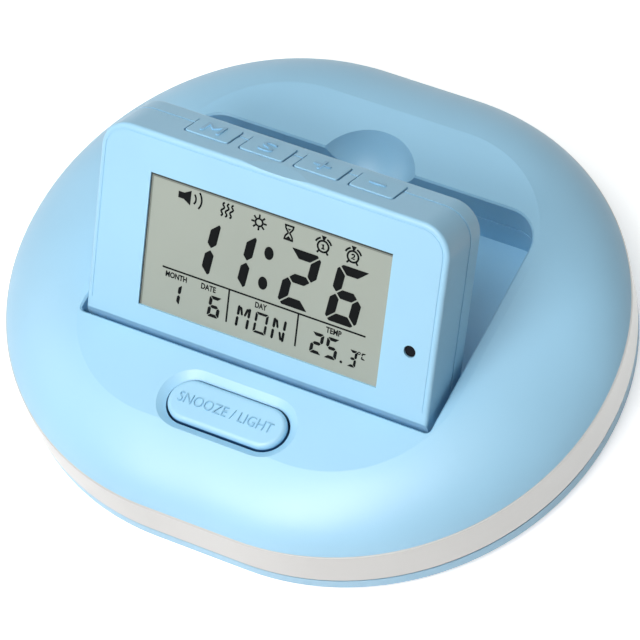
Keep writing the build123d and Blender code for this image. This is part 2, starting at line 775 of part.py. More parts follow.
# Front half of the head
with BuildPart() as head_bezel:
    add(head_block.part)
    add(hinge_core.part)
    with BuildSketch(head_plane.offset(seam_n + head_seam / 2)):
        Rectangle(2 * head_width, 4 * head_top)
    extrude(amount=-head_thick, mode=Mode.SUBTRACT)
    with BuildSketch(head_plane.offset(face_n - front_wall)):
        head_slab(head_wall, cavity_foot)
        with Locations(*head_screw_spots):
            Circle(head_post_radius, mode=Mode.SUBTRACT)
    extrude(amount=seam_n + head_seam / 2 - face_n + front_wall, mode=Mode.SUBTRACT)
    with BuildSketch(head_plane.offset(glass_n)):
        with Locations((0, window_u)):
            Rectangle(glass_width + 2 * glass_gap, glass_height + 2 * glass_gap)
    extrude(amount=-front_wall, mode=Mode.SUBTRACT)
    with BuildSketch(head_plane.offset(face_n)):
        with Locations((0, window_u)):
            Rectangle(window_width, window_height)
        with Locations((sensor_x, sensor_u)):
            Circle(sensor_hole_radius)
    extrude(amount=-front_wall, mode=Mode.SUBTRACT)
    with BuildSketch(head_plane.offset(seam_n + head_seam / 2)):
        with Locations(*head_screw_spots):
            Circle(head_screw_radius)
    extrude(amount=face_n - front_wall - seam_n - head_seam / 2, mode=Mode.SUBTRACT)
    with BuildSketch(head_plane.offset(face_n)):
        head_slab(line_inset, cavity_foot + line_foot)
        head_slab(line_inset + line_width, cavity_foot + line_foot, mode=Mode.SUBTRACT)
    extrude(amount=-line_depth, mode=Mode.SUBTRACT)

# Rear half of the head
with BuildPart() as head_rear_shell:
    add(head_block.part)
    with BuildSketch(head_plane.offset(seam_n - head_seam / 2)):
        Rectangle(2 * head_width, 4 * head_top)
    extrude(amount=head_thick, mode=Mode.SUBTRACT)
    with BuildSketch(head_plane.offset(head_wall - face_n)):
        head_slab(head_wall, cavity_foot)
        with Locations(*head_screw_spots):
            Circle(head_post_radius, mode=Mode.SUBTRACT)
    extrude(amount=face_n - head_wall + seam_n - head_seam / 2, mode=Mode.SUBTRACT)
    with BuildSketch(head_plane.offset(-face_n)):
        with Locations(*head_screw_spots):
            Circle(head_screw_radius)
    extrude(amount=face_n, mode=Mode.SUBTRACT)
    with BuildSketch(head_plane.offset(-face_n)):
        with Locations(*head_screw_spots):
            Circle(head_screw_head_radius)
    extrude(amount=head_screw_depth + head_screw_head_thick, mode=Mode.SUBTRACT)

# Display glass
with BuildPart() as lcd_glass:
    with BuildSketch(head_plane.offset(glass_n)):
        with Locations((0, window_u)):
            Rectangle(glass_width, glass_height)
    extrude(amount=-glass_thick)

# Light plate behind the glass
with BuildPart() as lcd_light_plate:
    with BuildSketch(head_plane.offset(plate_n)):
        with Locations((0, window_u)):
            RectangleRounded(glass_width - 2 * plate_inset, glass_height - 2 * plate_inset, glass_gap)
    extrude(amount=-plate_thick)

# Board of the head
with BuildPart() as head_board:
    with BuildSketch(head_plane.offset(board_n)):
        with Locations((0, head_board_u)):
            Rectangle(head_board_width, head_board_height)
        with Locations((0, head_board_wing_u)):
            Rectangle(head_board_wing_width, head_board_wing_height)
    extrude(amount=-board_thick)

# Sensor behind the small hole of the face
with BuildPart() as light_sensor:
    with BuildSketch(head_plane.offset(board_n)):
        with Locations((sensor_x, sensor_u)):
            Circle(sensor_radius)
    extrude(amount=face_n - sensor_depth - board_n)

# Four screws from the back of the head
with BuildPart() as head_screws:
    with BuildSketch(head_plane.offset(head_screw_depth - face_n)):
        with Locations(*head_screw_spots):
            Circle(head_screw_head_radius)
    extrude(amount=head_screw_head_thick)
    with BuildSketch(head_plane.offset(head_screw_depth - face_n)):
        with Locations(*head_screw_spots):
            Circle(head_screw_radius)
    extrude(amount=head_screw_length)
    with BuildSketch(head_plane.offset(head_screw_depth - face_n)):
        with Locations(*head_screw_spots):
            Rectangle(head_screw_head_radius, head_screw_slot)
            Rectangle(head_screw_slot, head_screw_head_radius)
    extrude(amount=head_screw_slot, mode=Mode.SUBTRACT)

# Four small switches on the back of the head board at its top edge
with BuildPart() as key_switches:
    with BuildSketch(key_plane.offset(-switch_base - switch_lap)):
        with Locations((0, switch_y)):
            with GridLocations(key_pitch, 0, 4, 1):
                Rectangle(switch_width, switch_depth)
    extrude(amount=switch_lap + switch_height)
    with BuildSketch(key_plane.offset(switch_height - switch_base)):
        with Locations((0, switch_y)):
            with GridLocations(key_pitch, 0, 4, 1):
                Rectangle(switch_cap, switch_cap)
    extrude(amount=switch_cap_height)


def key(number):
    """One key of the top edge, counted from the left, with its flange and stem."""
    spot = ((number - 3 / 2) * key_pitch, key_y)
    with BuildPart() as cap:
        with BuildSketch(key_plane.offset(key_proud)):
            with Locations(spot):
                RectangleRounded(key_width, key_depth, key_corner)
        extrude(amount=-key_proud - head_wall - key_flange_gap)
        fillet(cap.faces().sort_by(Axis(key_plane_origin, head_up))[-1].edges(), radius=key_edge)
        with BuildSketch(key_plane.offset(-head_wall - key_flange_gap)):
            with Locations(spot):
                RectangleRounded(key_width + 2 * key_flange, key_depth + 2 * key_flange, key_corner)
        extrude(amount=-key_flange_thick)
        with BuildSketch(key_plane.offset(-head_wall - key_flange_gap - key_flange_thick)):
            with Locations((spot[0], switch_y)):
                Rectangle(key_stem_width, key_stem_depth)
        extrude(amount=head_wall + key_flange_gap + key_flange_thick - key_stem_end)
    return cap


mode_key = key(0)
set_key = key(1)
plus_key = key(2)
minus_key = key(3)

# Every piece is written to its own file
pieces = {
    "upper_housing": upper_housing,
    "light_ring": light_ring,
    "bottom_cover": bottom_cover,
    "rubber_feet": rubber_feet,
    "housing_screws": housing_screws,
    "snooze_button": snooze_button,
    "snooze_switch": snooze_switch,
    "main_board": main_board,
    "usb_socket": usb_socket,
    "battery_cell": battery_cell,
    "speaker": speaker,
    "vibration_motor": vibration_motor,
    "motor_clamp": motor_clamp,
    "motor_shaft": motor_shaft,
    "eccentric_weight": eccentric_weight,
    "led_strip": led_strip,
    "ring_leds": ring_leds,
    "hinge_pins": hinge_pins,
    "head_bezel": head_bezel,
    "head_rear_shell": head_rear_shell,
    "lcd_glass": lcd_glass,
    "lcd_light_plate": lcd_light_plate,
    "head_board": head_board,
    "light_sensor": light_sensor,
    "head_screws": head_screws,
    "key_switches": key_switches,
    "mode_key": mode_key,
    "set_key": set_key,
    "plus_key": plus_key,
    "minus_key": minus_key,
}
os.makedirs("parts", exist_ok=True)
for label, block in pieces.items():
    block.part.label = label
    export_step(block.part, f"parts/{label}.step")
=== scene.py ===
import json
import math

import bmesh
import bpy
from mathutils import Matrix, Vector


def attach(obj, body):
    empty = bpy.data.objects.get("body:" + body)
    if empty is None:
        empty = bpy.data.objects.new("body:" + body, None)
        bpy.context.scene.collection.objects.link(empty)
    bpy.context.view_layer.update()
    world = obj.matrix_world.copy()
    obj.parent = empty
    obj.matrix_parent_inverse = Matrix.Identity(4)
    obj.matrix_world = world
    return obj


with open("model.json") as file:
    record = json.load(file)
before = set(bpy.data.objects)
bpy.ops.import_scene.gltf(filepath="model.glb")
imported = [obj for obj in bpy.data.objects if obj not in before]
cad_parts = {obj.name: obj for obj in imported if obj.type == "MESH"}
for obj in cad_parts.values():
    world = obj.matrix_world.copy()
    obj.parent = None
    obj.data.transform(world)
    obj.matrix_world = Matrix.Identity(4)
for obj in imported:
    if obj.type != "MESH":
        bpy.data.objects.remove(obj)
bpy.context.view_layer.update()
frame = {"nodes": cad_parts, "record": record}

MM = 0.001

# Places of the part, in millimetres; the head's places are along its own axes from the hinge
DECK = 22.44
SNOOZE_TOP = DECK + 0.2
SNOOZE_FOOT = DECK - 1.0
SNOOZE_FADE = 0.12
SNOOZE_Y = -31.9
RING_FOOT = 4.8
RING_FADE = 0.08
TILT = math.radians(55.5)
HEAD_TOP = 43.31
FACE_N = 6.67
GLASS_N = FACE_N - 0.4
KEY_TOP = HEAD_TOP + 0.18
KEY_N = -1.0
KEY_PITCH = 11.35
HINGE = Vector((0, -17.77, DECK - FACE_N))
AXIS_X = Vector((1, 0, 0))
HEAD_UP = Vector((0, math.cos(TILT), math.sin(TILT)))
HEAD_OUT = Vector((0, -math.sin(TILT), math.cos(TILT)))


def axes(x_axis, y_axis, z_axis, origin):
    """Matrix of a frame from its three axes and its origin."""
    matrix = Matrix((x_axis, y_axis, z_axis)).transposed().to_4x4()
    matrix.translation = origin
    return matrix


# Materials

DRIFT_SCALE = 35.0
WEAR_SCALE = 160.0
WEAR_DETAIL = 3.0
GRAIN_SCALE = 5200.0
GRAIN_DETAIL = 1.0
GRAIN_DEPTH = 0.00002
METAL_SCALE = 900.0
METAL_DETAIL = 4.0
NOISE_LOW = 0.3
NOISE_HIGH = 0.7
SCATTER_RADIUS = (0.003, 0.003, 0.003)
SCATTER_SCALE = 0.5


def srgb(r, g, b):
    """Linear colour of an sRGB triple from 0 to 255."""
    def lin(c):
        c = c / 255
        return c / 12.92 if c <= 0.04045 else ((c + 0.055) / 1.055) ** 2.4
    return (lin(r), lin(g), lin(b), 1.0)


def tint(color, k):
    """Colour made lighter or darker by a factor."""
    return tuple(min(1.0, c * k) for c in color[:3]) + (1.0,)


def new_material(name):
    """Material with one shader, and the coordinates of its object."""
    mat = bpy.data.materials.new(name)
    mat.use_nodes = True
    nodes = mat.node_tree.nodes
    links = mat.node_tree.links
    nodes.clear()
    out = nodes.new("ShaderNodeOutputMaterial")
    shader = nodes.new("ShaderNodeBsdfPrincipled")
    links.new(shader.outputs[0], out.inputs[0])
    coord = nodes.new("ShaderNodeTexCoord").outputs["Object"]
    return mat, nodes, links, shader, coord


def noise(nodes, links, coord, scale, detail=2.0):
    tex = nodes.new("ShaderNodeTexNoise")
    tex.inputs["Scale"].default_value = scale
    tex.inputs["Detail"].default_value = detail
    links.new(coord, tex.inputs["Vector"])
    return tex.outputs["Fac"]


def ramp(nodes, links, value, low_color, high_color):
    """Colour between two ends, over the middle range of a noise."""
    node = nodes.new("ShaderNodeValToRGB")
    low, high = node.color_ramp.elements
    low.position, low.color = NOISE_LOW, low_color
    high.position, high.color = NOISE_HIGH, high_color
    links.new(value, node.inputs[0])
    return node.outputs[0]


def spread(nodes, links, value, low, high):
    """Value from 0 to 1 moved to another range."""
    node = nodes.new("ShaderNodeMapRange")
    node.inputs["To Min"].default_value = low
    node.inputs["To Max"].default_value = high
    links.new(value, node.inputs[0])
    return node.outputs[0]


def bump(nodes, links, shader, height, strength, distance):
    node = nodes.new("ShaderNodeBump")
    node.inputs["Strength"].default_value = strength
    node.inputs["Distance"].default_value = distance
    links.new(height, node.inputs["Height"])
    links.new(node.outputs[0], shader.inputs["Normal"])


def below(nodes, links, coord, level, soft, low_color, color):
    """Colour that turns to another one under a height in millimetres, used for painted shade."""
    split = nodes.new("ShaderNodeSeparateXYZ")
    links.new(coord, split.inputs[0])
    over = nodes.new("ShaderNodeMapRange")
    over.inputs["From Min"].default_value = (level - soft) * MM
    over.inputs["From Max"].default_value = (level + soft) * MM
    links.new(split.outputs["Z"], over.inputs[0])
    mix = nodes.new("ShaderNodeMix")
    mix.data_type = "RGBA"
    mix.inputs[6].default_value = low_color
    links.new(over.outputs[0], mix.inputs[0])
    links.new(color, mix.inputs[7])
    return mix.outputs[2]


def moulded(name, color, rough, grain, gloss=0.5, scatter=0.0, glow=0.0, foot_shade=None):
    """Moulded plastic: broad faint colour drift, uneven gloss and a fine moulding grain; optionally painted
    shade under a height and a painted glow of its own colour.
    """
    mat, nodes, links, shader, coord = new_material(name)
    drift = noise(nodes, links, coord, DRIFT_SCALE)
    shade = ramp(nodes, links, drift, tint(color, 0.97), tint(color, 1.03))
    if foot_shade:
        shade = below(nodes, links, coord, *foot_shade, shade)
    links.new(shade, shader.inputs["Base Color"])
    if glow:
        links.new(shade, shader.inputs["Emission Color"])
        shader.inputs["Emission Strength"].default_value = glow
    wear = noise(nodes, links, coord, WEAR_SCALE, WEAR_DETAIL)
    links.new(spread(nodes, links, wear, rough - 0.04, rough + 0.05), shader.inputs["Roughness"])
    shader.inputs["Specular IOR Level"].default_value = gloss
    bump(nodes, links, shader, noise(nodes, links, coord, GRAIN_SCALE, GRAIN_DETAIL), grain, GRAIN_DEPTH)
    if scatter:
        shader.inputs["Subsurface Weight"].default_value = scatter
        shader.inputs["Subsurface Radius"].default_value = SCATTER_RADIUS
        shader.inputs["Subsurface Scale"].default_value = SCATTER_SCALE
    return mat


def metal(name, color, rough):
    """Worked metal with a fine grain in colour and gloss."""
    mat, nodes, links, shader, coord = new_material(name)
    grain = noise(nodes, links, coord, METAL_SCALE, METAL_DETAIL)
    shade = ramp(nodes, links, grain, tint(color, 0.85), tint(color, 1.1))
    links.new(shade, shader.inputs["Base Color"])
    links.new(spread(nodes, links, grain, rough - 0.08, rough + 0.1), shader.inputs["Roughness"])
    shader.inputs["Metallic"].default_value = 1.0
    return mat


BLUE = srgb(161, 212, 239)
# Painted shade: the raised letters on the pill and keys get blues darker than their own, standing in for the
# shade of their relief
SNOOZE_WORDS_SHADE_BLUE = srgb(138, 188, 216)
KEY_SIGN_SHADE_BLUE = srgb(143, 195, 226)
INK = srgb(12, 15, 16)
# Painted shade: the snooze pill turns dark navy below its foot, down in the gap round it
SNOOZE_PAINTED_SHADE = (SNOOZE_FOOT, SNOOZE_FADE, srgb(26, 78, 122))
# Painted shadow: the ring turns dark at its foot, a shadow line at its seam to the cover
RING_PAINTED_SHADOW = (RING_FOOT, RING_FADE, srgb(52, 60, 68))
snooze_mat = moulded("snooze_blue", BLUE, rough=0.42, grain=0.2, gloss=0.85, foot_shade=SNOOZE_PAINTED_SHADE)
snooze_words_shade_mat = moulded("snooze_words_painted_shade", SNOOZE_WORDS_SHADE_BLUE, rough=0.5, grain=0.1)
key_sign_shade_mat = moulded("key_sign_painted_shade", KEY_SIGN_SHADE_BLUE, rough=0.4, grain=0.1)
ink_mat = moulded("display_ink", INK, rough=0.8, grain=0.02, gloss=0.1)
# Painted shadow and painted shade on the display glass, under the window's top and left edges
window_shadow_mat = moulded("display_painted_shadow", srgb(62, 67, 66), rough=0.8, grain=0.02, gloss=0.1)
shade_mat = moulded("display_shade", srgb(126, 133, 125), rough=0.8, grain=0.02, gloss=0.1)
slot_mats = {
    "housing_blue": moulded("housing_blue", BLUE, rough=0.40, grain=0.6, gloss=0.85),
    "head_blue": moulded("head_blue", BLUE, rough=0.36, grain=0.25),
    "button_blue": moulded("button_blue", BLUE, rough=0.42, grain=0.2),
    # The diffuser ring glows faintly, painted light that keeps it evenly pale all round, and its foot
    # carries a painted shadow line
    "ring_diffuser": moulded(
        "ring_diffuser", srgb(141, 141, 139), rough=0.36, grain=0.1, scatter=0.25, glow=1.3, foot_shade=RING_PAINTED_SHADOW,
    ),
    "display_glass": moulded("display_glass", srgb(156, 166, 156), rough=0.5, grain=0.02),
    "light_plate": moulded("light_plate", srgb(238, 238, 232), rough=0.3, grain=0.05),
    "board": moulded("board", srgb(28, 92, 48), rough=0.4, grain=0.3),
    "rubber": moulded("rubber", srgb(62, 66, 72), rough=0.75, grain=0.6),
    "steel": metal("steel", srgb(190, 192, 196), rough=0.3),
    "heavy_metal": metal("heavy_metal", srgb(120, 120, 124), rough=0.45),
    "cell_foil": metal("cell_foil", srgb(205, 208, 212), rough=0.35),
    "black_plastic": moulded("black_plastic", srgb(10, 14, 21), rough=0.5, grain=0.2, gloss=0.1),
    "led": moulded("led", srgb(246, 236, 196), rough=0.2, grain=0.05),
}
for sub in frame["record"]["subparts"]:
    node = frame["nodes"].get(sub["node"])
    if node is None:
        continue
    for slot in node.material_slots:
        slot.material = snooze_mat if sub["node"] == "snooze_button" else slot_mats[sub["material_slot"]]

# Flat drawing: outlines in the plane of a face, raised to thin solids; sizes in millimetres

INK_LOW = -0.01
INK_HIGH = 0.03
INK_DEPTH = INK_HIGH - INK_LOW
FACE_FRAME = axes(AXIS_X, HEAD_UP, HEAD_OUT, HINGE) @ Matrix.Translation((0, 0, GLASS_N))
DISPLAY_FRAME = FACE_FRAME @ Matrix.Translation((0.25, 0.3, 0))
KEY_FRAME = axes(AXIS_X, -HEAD_OUT, HEAD_UP, HINGE) @ Matrix.Translation((0, -KEY_N, KEY_TOP))
SNOOZE_FRAME = Matrix.Translation((0, SNOOZE_Y, SNOOZE_TOP))


def prism(bm, outline):
    """Closed thin solid on an outline that runs counter-clockwise."""
    low = [bm.verts.new((x, y, INK_LOW)) for x, y in outline]
    high = [bm.verts.new((x, y, INK_HIGH)) for x, y in outline]
    bm.faces.new(high)
    bm.faces.new(low[::-1])
    for i in range(len(outline)):
        j = (i + 1) % len(outline)
        bm.faces.new((low[i], low[j], high[j], high[i]))


def plate(bm, left, low, right, high):
    """Thin solid rectangle."""
    prism(bm, [(left, low), (right, low), (right, high), (left, high)])


def band(bm, points, width, closed=False):
    """Thin solid stroke of even width along a line of points."""
    count = len(points)
    rings = []
    for i, (x, y) in enumerate(points):
        before = points[i - 1] if closed or i > 0 else points[i]
        after = points[(i + 1) % count] if closed or i < count - 1 else points[i]
        run = Vector((after[0] - before[0], after[1] - before[1])).normalized()
        left = (x - run.y * width / 2, y + run.x * width / 2)
        right = (x + run.y * width / 2, y - run.x * width / 2)
        section = ((left, INK_LOW), (right, INK_LOW), (right, INK_HIGH), (left, INK_HIGH))
        rings.append([bm.verts.new((*p, z)) for p, z in section])
    for i in range(count if closed else count - 1):
        here, there = rings[i], rings[(i + 1) % count]
        for k in range(4):
            m = (k + 1) % 4
            bm.faces.new((here[k], here[m], there[m], there[k]))
    if not closed:
        bm.faces.new(rings[0][::-1])
        bm.faces.new(rings[-1])


def arc(cx, cy, radius, start, end, steps=14):
    """Points on an arc, angles in degrees."""
    turn = [math.radians(start + (end - start) * i / steps) for i in range(steps + 1)]
    return [(cx + radius * math.cos(t), cy + radius * math.sin(t)) for t in turn]


def ring(bm, cx, cy, radius, width, steps=36):
    """Thin solid circle line."""
    band(bm, arc(cx, cy, radius, 0, 360, steps)[:-1], width, closed=True)


def disc(cx, cy, rx, ry, steps=28):
    """Outline of an ellipse."""
    turn = [2 * math.pi * i / steps for i in range(steps)]
    return [(cx + rx * math.cos(t), cy + ry * math.sin(t)) for t in turn]


def spoke(bm, cx, cy, angle, near, far, width):
    """Stroke that points away from a centre, angle in radians."""
    c, s = math.cos(angle), math.sin(angle)
    band(bm, [(cx + near * c, cy + near * s), (cx + far * c, cy + far * s)], width)


def drawn_in(outline, inset):
    """Convex counter-clockwise outline with every side moved inwards."""
    sides = []
    for i in range(len(outline)):
        a, b = Vector(outline[i - 1]), Vector(outline[i])
        run = (b - a).normalized()
        sides.append((a + Vector((-run.y, run.x)) * inset, run))
    corners = []
    for i in range(len(sides)):
        p, d = sides[i]
        q, e = sides[(i + 1) % len(sides)]
        t = (q - p).cross(e) / d.cross(e)
        corners.append(p + d * t)
    return corners


EASE_STEPS = (0.0, 0.33, 0.67, 1.0)


def eased(outline, size):
    """Outline with each corner cut to a small round."""
    points = []
    for i in range(len(outline)):
        here = Vector(outline[i])
        back = Vector(outline[i - 1]) - here
        on = Vector(outline[(i + 1) % len(outline)]) - here
        a = here + back.normalized() * min(size, back.length / 3)
        b = here + on.normalized() * min(size, on.length / 3)
        for t in EASE_STEPS:
            points.append(tuple(a * (1 - t) ** 2 + here * 2 * t * (1 - t) + b * t ** 2))
    return points


def distinct(outline):
    """Outline without points that lie on the one before."""
    return [p for i, p in enumerate(outline) if p != outline[i - 1]]


# Lit segments of each sign: a on top, b and c down the right, d below, e and f up the left, g across
SEGMENTS = {
    "0": "abcdef", "1": "bc", "2": "abged", "3": "abgcd", "5": "afgcd", "6": "afgedc", "C": "afed",
}
CORNER_CUT = 0.5
CORNER_EASE = 1 / 14


def digit(bm, sign, x, y, width, height, stroke, gap, shear):
    """Seven-segment sign with its lower left corner at the given place."""
    w, h, t = width, height, stroke
    half = t / 2
    low, mid, high = h / 2 - half, h / 2, h / 2 + half
    lit = SEGMENTS[sign]
    cut = t * CORNER_CUT
    edge = cut / 2
    b, c, e, f = (cut if name in lit else 0.0 for name in "bcef")
    shapes = {
        "a": [(t, h - t), (w - t, h - t), (w - b / 2, h - b / 2), (w - b, h), (f, h), (f / 2, h - f / 2)],
        "b": [(w - t, high), (w - half, mid), (w, high), (w, h - cut), (w - edge, h - edge), (w - t, h - t)],
        "c": [(w - t, t), (w - edge, edge), (w, cut), (w, low), (w - half, mid), (w - t, low)],
        "d": [(e / 2, e / 2), (e, 0), (w - c, 0), (w - c / 2, c / 2), (w - t, t), (t, t)],
        "e": [(0, cut), (edge, edge), (t, t), (t, low), (half, mid), (0, low)],
        "f": [(0, high), (half, mid), (t, high), (t, h - t), (edge, h - edge), (0, h - cut)],
        "g": [(t, low), (w - t, low), (w - half, mid), (w - t, high), (t, high), (half, mid)],
    }
    for name in lit:
        outline = eased(drawn_in(distinct(shapes[name]), gap / 2), t * CORNER_EASE)
        prism(bm, [(x + px + py * shear, y + py) for px, py in outline])


def lettering(text, width, height, center, depth, weight=0.0):
    """Solid letters fitted to a width and a cap height, as a flat drawing."""
    curve = bpy.data.curves.new("letters", "FONT")
    curve.body = text
    curve.extrude = depth / 2
    curve.offset = weight
    curve.resolution_u = 4
    holder = bpy.data.objects.new("letters", curve)
    bpy.context.scene.collection.objects.link(holder)
    solid = holder.evaluated_get(bpy.context.evaluated_depsgraph_get())
    mesh = bpy.data.meshes.new_from_object(solid)
    bpy.data.objects.remove(holder)
    bpy.data.curves.remove(curve)
    xs, ys, zs = zip(*(v.co for v in mesh.vertices))
    scale_x = width / (max(xs) - min(xs))
    scale_y = height / (max(ys) - min(ys))
    scale_z = depth / (max(zs) - min(zs))
    mid_x = (max(xs) + min(xs)) / 2
    mid_y = (max(ys) + min(ys)) / 2
    for v in mesh.vertices:
        v.co = (
            center[0] + (v.co.x - mid_x) * scale_x,
            center[1] + (v.co.y - mid_y) * scale_y,
            (v.co.z - min(zs)) * scale_z + INK_LOW,
        )
    bm = bmesh.new()
    bm.from_mesh(mesh)
    bpy.data.meshes.remove(mesh)
    return bm


def joined(parts):
    """One drawing from several."""
    whole = bmesh.new()
    for part in parts:
        mesh = bpy.data.meshes.new("part")
        part.to_mesh(mesh)
        part.free()
        whole.from_mesh(mesh)
        bpy.data.meshes.remove(mesh)
    return whole


def finish_piece(bm, name, place, mat, body):
    """Put a flat drawing on its face and let it ride on its body."""
    bmesh.ops.recalc_face_normals(bm, faces=bm.faces)
    bm.transform(Matrix.Scale(MM, 4) @ place)
    mesh = bpy.data.meshes.new(name)
    bm.to_mesh(mesh)
    bm.free()
    mesh.materials.append(mat)
    piece = bpy.data.objects.new(name, mesh)
    bpy.context.scene.collection.objects.link(piece)
    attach(piece, body)


# Display: the time
TIME_Y = 17.38
TIME_H = 12.2
TIME_W = 6.75
TIME_STROKE = 2.15
TIME_GAP = 0.3
TIME_SHEAR = 0.141
TIME_LEFTS = (("1", -11.5 - TIME_W), ("1", -3.96 - TIME_W), ("2", 2.63), ("6", 12.45))
COLON_DOTS = ((0.18, 26.64), (-0.41, 20.32))
COLON_RX = 0.95
COLON_RY = 1.32
time_bm = bmesh.new()
for sign, left in TIME_LEFTS:
    digit(time_bm, sign, left, TIME_Y, TIME_W, TIME_H, TIME_STROKE, TIME_GAP, TIME_SHEAR)
for x, y in COLON_DOTS:
    prism(time_bm, disc(x, y, COLON_RX, COLON_RY))
finish_piece(time_bm, "display_time", DISPLAY_FRAME, ink_mat, "head")

# Display: date, day and temperature
SMALL_Y = 9.86
SMALL_H = 4.5
SMALL_W = 2.6
SMALL_STROKE = 0.78
SMALL_GAP = 0.12
SMALL_SHEAR = 0.08
SMALL_LEFTS = (("1", -17.05 - SMALL_W), ("6", -11.23), ("2", 10.36), ("5", 13.45))
# Sign, left, low, width, height, stroke and gap of the letter O, the tenths and the degree's letter
OTHER_DIGITS = (
    ("0", -1.5, SMALL_Y, 2.85, SMALL_H, 0.62, SMALL_GAP),
    ("3", 18.3, SMALL_Y - 0.1, 1.75, 3.6, 0.62, 0.1),
    ("C", 20.95, 11.95, 0.9, 1.4, 0.3, 0.04),
)
POINT = (17.09, 10.12)
POINT_RADIUS = 0.28
DEGREE = (20.5, 13.08)
DEGREE_RADIUS = 0.24
DEGREE_STROKE = 0.17
DEGREE_STEPS = 16
row_bm = bmesh.new()
for sign, left in SMALL_LEFTS:
    digit(row_bm, sign, left, SMALL_Y, SMALL_W, SMALL_H, SMALL_STROKE, SMALL_GAP, SMALL_SHEAR)
for row in OTHER_DIGITS:
    digit(row_bm, *row, SMALL_SHEAR)
prism(row_bm, disc(*POINT, POINT_RADIUS, POINT_RADIUS))
ring(row_bm, *DEGREE, DEGREE_RADIUS, DEGREE_STROKE, DEGREE_STEPS)


def letter_stroke(bm, x, a, b, half):
    """Pointed stroke of a letter between two places in its cell."""
    start = Vector((x + a[0] + a[1] * SMALL_SHEAR, SMALL_Y + a[1]))
    end = Vector((x + b[0] + b[1] * SMALL_SHEAR, SMALL_Y + b[1]))
    run = (end - start).normalized()
    side = Vector((-run.y, run.x)) * half
    tail, tip = start + run * half, end - run * half
    prism(bm, [tuple(p) for p in (start, tail - side, tip - side, end, tip + side, tail + side)])


# The letters M and N: left edge of the cell and the slanted strokes in it
LETTER_W = 3.0
LETTER_EDGE = SMALL_STROKE / 2
POST_HALF = 0.27
POST_SPANS = ((2.35, 4.5), (0.0, 2.15))
SLASH_HALF = 0.23
SLASH_LEFT = ((0.75, 4.3), (1.25, 2.5))
SLASH_UP = ((1.75, 2.5), (2.25, 4.3))
SLASH_DOWN = ((1.75, 2.0), (2.25, 0.2))
for cell, slashes in ((-5.32, (SLASH_LEFT, SLASH_UP)), (2.18, (SLASH_LEFT, SLASH_DOWN))):
    for side in (LETTER_EDGE, LETTER_W - LETTER_EDGE):
        for low, high in POST_SPANS:
            letter_stroke(row_bm, cell, (side, low), (side, high), POST_HALF)
    for start, end in slashes:
        letter_stroke(row_bm, cell, start, end, SLASH_HALF)
finish_piece(row_bm, "display_row", DISPLAY_FRAME, ink_mat, "head")

# Display: rules between the fields
RULE_Y = 16.77
RULE_LEFT = -21.23
RULE_RIGHT = 21.36
RULE_STROKE = 0.34
UPRIGHT_XS = (-7.0, 7.5)
UPRIGHT_LOW = 10.0
UPRIGHT_HIGH = RULE_Y - 0.1
rule_bm = bmesh.new()
band(rule_bm, [(RULE_LEFT, RULE_Y), (RULE_RIGHT, RULE_Y)], RULE_STROKE)
for x in UPRIGHT_XS:
    band(rule_bm, [(x, UPRIGHT_LOW), (x, UPRIGHT_HIGH)], RULE_STROKE)
finish_piece(rule_bm, "display_rules", DISPLAY_FRAME, ink_mat, "head")

# Display: painted shadow of the bezel along the top and left of the window, dark at the edge with a paler
# painted shade inside it
WINDOW_X = 25.1
WINDOW_LOW = 7.9
WINDOW_HIGH = 35.3
SHADOW_TOP = 0.5
SHADOW_LEFT = 0.2
SHADE = 0.3
UNDER = 0.3
outer_left = -WINDOW_X - UNDER
outer_right = WINDOW_X + UNDER
outer_low = WINDOW_LOW - UNDER
shadow_x = -WINDOW_X + SHADOW_LEFT
shadow_y = WINDOW_HIGH - SHADOW_TOP
shadow_bm = bmesh.new()
plate(shadow_bm, outer_left, shadow_y, outer_right, WINDOW_HIGH + UNDER)
plate(shadow_bm, outer_left, outer_low, shadow_x, shadow_y)
finish_piece(shadow_bm, "display_painted_shadow", FACE_FRAME, window_shadow_mat, "head")
shade_bm = bmesh.new()
plate(shade_bm, shadow_x, shadow_y - SHADE, outer_right, shadow_y)
plate(shade_bm, shadow_x, outer_low, shadow_x + SHADE, shadow_y - SHADE)
finish_piece(shade_bm, "display_shade", FACE_FRAME, shade_mat, "head")

# Display: names of the fields, with their middle and width
LABELS = (("MONTH", -18.18, 4.5), ("DATE", -11.32, 3.1), ("DAY", -0.23, 2.45), ("TEMP", 14.95, 3.2))
LABEL_Y = 15.58
LABEL_H = 1.2
LABEL_WEIGHT = 0.03
label_bm = joined([
    lettering(text, width, LABEL_H, (x, LABEL_Y), INK_DEPTH, LABEL_WEIGHT) for text, x, width in LABELS
])
finish_piece(label_bm, "display_labels", DISPLAY_FRAME, ink_mat, "head")

# Display: symbols of the top row
SIGN_STROKE = 0.36
sign_bm = bmesh.new()

# Loudspeaker: its cone, then radius and half angle of its sound waves
SPEAKER_CONE = (
    (-19.45, 31.62), (-18.3, 31.62), (-16.85, 30.75), (-16.8, 33.75), (-18.25, 32.92), (-19.45, 32.92),
)
SPEAKER_MID = (-17.2, 32.25)
SPEAKER_WAVES = ((1.45, 42), (2.65, 38))
prism(sign_bm, SPEAKER_CONE)
for radius, half in SPEAKER_WAVES:
    band(sign_bm, arc(*SPEAKER_MID, radius, -half, half), SIGN_STROKE)

# Vibration: three wavy lines that lean to the right
WAVE_XS = (-10.4, -9.48, -8.56)
WAVE_LOW = 30.85
WAVE_POINTS = 15
WAVE_RISE = 0.2
WAVE_LEAN = 0.04
WAVE_SWING = 0.24
WAVE_TURN = 0.9
for x in WAVE_XS:
    wave = [
        (x + WAVE_SWING * math.sin(t * WAVE_TURN) + WAVE_LEAN * t, WAVE_LOW + WAVE_RISE * t)
        for t in range(WAVE_POINTS)
    ]
    band(sign_bm, wave, SIGN_STROKE)

